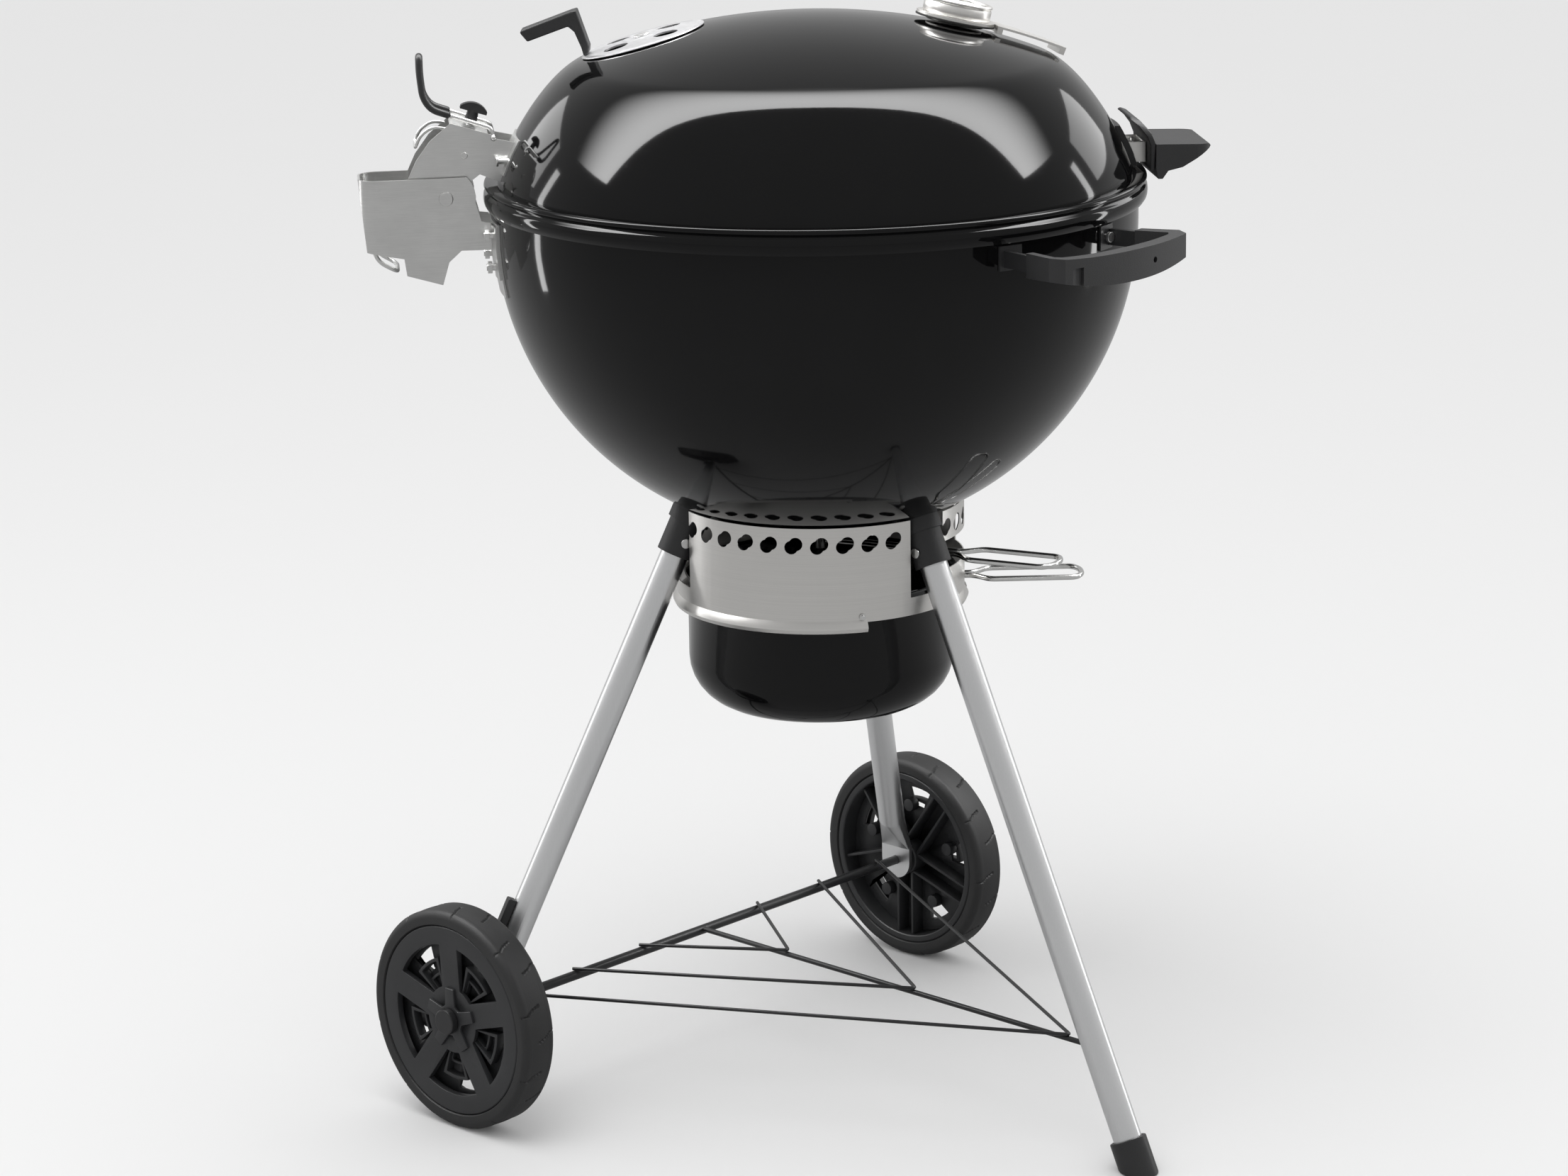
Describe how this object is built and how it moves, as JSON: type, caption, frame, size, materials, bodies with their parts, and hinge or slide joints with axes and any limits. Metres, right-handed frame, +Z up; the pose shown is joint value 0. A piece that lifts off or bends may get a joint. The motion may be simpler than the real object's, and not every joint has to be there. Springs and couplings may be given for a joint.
{
  "type": "kettle charcoal grill",
  "caption": "Kettle charcoal grill: round enamelled bowl and hinged domed lid on three splayed tube legs with two wheels, ash pot and wire rack.",
  "frame": {"origin": "on the ground under the middle of the whole grill's box", "axes": "+Z up, +X towards the front foot, the wheel axle along Y; the kettle's axis stands at x = -47.5 mm"},
  "size_m": [0.6809, 0.6598, 0.9986],
  "materials": {
    "enamel": "gloss porcelain enamel",
    "chrome_wire": "plated wire",
    "dark_wire": "bare steel wire",
    "black_wire": "black coated wire",
    "brushed_steel": "brushed",
    "plated_steel": "bright plated",
    "aluminium": "satin",
    "cast_aluminium": "smooth satin",
    "black_nylon": "matt, fine grain",
    "black_plastic": "satin",
    "wheel_plastic": "satin",
    "tyre_plastic": "matt",
    "dial_white": "satin",
    "pointer_red": "satin",
    "glass": "clear",
    "gasket": "matt"
  },
  "bodies": {
    "frame": {"bowl": "enamel", "grate_tabs": "dark_wire", "cooking_grate": "chrome_wire", "charcoal_grate": "dark_wire", "ash_collar": "brushed_steel", "collar_rivet": "plated_steel", "leg_sockets": "black_nylon", "socket_rivets": "plated_steel", "leg_front": "aluminium", "leg_left": "aluminium", "leg_right": "aluminium", "foot_cap": "black_plastic", "leg_clips": "black_plastic", "axle": "black_wire", "axle_caps": "black_plastic", "rack_spine": "black_wire", "rack_wires": "black_wire", "bowl_handle_grip": "black_nylon", "bowl_handle_brackets": "black_plastic", "bowl_handle_screws": "plated_steel", "hinge_plate": "plated_steel", "hinge_housing": "plated_steel", "hinge_bolts": "plated_steel", "hinge_pin": "plated_steel", "hinge_spring": "plated_steel", "housing_wire": "plated_steel"},
    "lid": {"lid": "enamel", "lid_bracket": "plated_steel", "bracket_rivets": "plated_steel", "stop_wire": "plated_steel", "knob_stud": "plated_steel", "lid_handle_grip": "black_nylon", "lid_handle_shield": "black_nylon", "lid_handle_strap": "brushed_steel", "lid_handle_base": "black_plastic", "lid_handle_bolts": "plated_steel", "damper_rivet": "plated_steel", "gauge_holder": "brushed_steel", "gauge_gasket": "gasket", "gauge_case": "brushed_steel", "gauge_dial": "dial_white", "gauge_lens": "glass", "gauge_probe": "plated_steel"},
    "damper": {"damper_disc": "cast_aluminium", "damper_handle": "black_nylon"},
    "knob": {"clamp_knob": "black_plastic"},
    "lever": {"release_lever": "plated_steel", "lever_grip": "black_plastic"},
    "pointer": {"gauge_pointer": "pointer_red"},
    "vent": {"vent_blades": "cast_aluminium", "vent_shaft": "plated_steel", "vent_lever": "chrome_wire"},
    "pot": {"ash_pot": "enamel", "ash_pot_handle": "chrome_wire"},
    "flap_left": {"grate_flap_left": "chrome_wire"},
    "flap_right": {"grate_flap_right": "chrome_wire"},
    "wheel_left": {"wheel_left": "wheel_plastic", "tyre_left": "tyre_plastic"},
    "wheel_right": {"wheel_right": "wheel_plastic", "tyre_right": "tyre_plastic"}
  },
  "joints": [
    {"name": "lid_hinge", "type": "hinge", "parent": "frame", "child": "lid", "pos_m": [-0.26138, -0.24604, 0.835], "axis": [0.7547, -0.6561, 0], "range_deg": [0, 60]},
    {"name": "damper_turn", "type": "hinge", "parent": "lid", "child": "damper", "pos_m": [-0.15898, -0.10037, 0.96448], "axis": [-0.1949, -0.1755, 0.965], "range_deg": [0, 45]},
    {"name": "knob_turn", "type": "hinge", "parent": "lid", "child": "knob", "pos_m": [-0.24629, -0.22868, 0.8955], "axis": [0.1918, 0.2207, 0.9563], "range_deg": [0, 180]},
    {"name": "release_lever", "type": "hinge", "parent": "lid", "child": "lever", "pos_m": [-0.23317, -0.21358, 0.886], "axis": [-0.7547, 0.6561, 0], "range_deg": [0, 15]},
    {"name": "pointer_turn", "type": "hinge", "parent": "lid", "child": "pointer", "pos_m": [0.03004, 0.10292, 0.98313], "axis": [0.1326, 0.1759, 0.9754], "range_deg": [0, 250]},
    {"name": "vent_turn", "type": "hinge", "parent": "frame", "child": "vent", "pos_m": [-0.04751, 0, 0.522], "axis": [0, 0, 1], "range_deg": [0, 34]},
    {"name": "ash_pot_slide", "type": "slide", "parent": "frame", "child": "pot", "axis": [0, 0, -1], "range_m": [0, 0.1]},
    {"name": "flap_left_hinge", "type": "hinge", "parent": "frame", "child": "flap_left", "pos_m": [0.03702, -0.07348, 0.7906], "axis": [-0.6561, -0.7547, 0], "range_deg": [0, 75]},
    {"name": "flap_right_hinge", "type": "hinge", "parent": "frame", "child": "flap_right", "pos_m": [-0.13204, 0.07348, 0.7906], "axis": [0.6561, 0.7547, 0], "range_deg": [0, 75]},
    {"name": "wheel_left_turn", "type": "hinge", "parent": "frame", "child": "wheel_left", "pos_m": [-0.2091, 0.30538, 0.1015], "axis": [0, 1, 0], "continuous": true},
    {"name": "wheel_right_turn", "type": "hinge", "parent": "frame", "child": "wheel_right", "pos_m": [-0.2091, -0.30538, 0.1015], "axis": [0, 1, 0], "continuous": true}
  ]
}
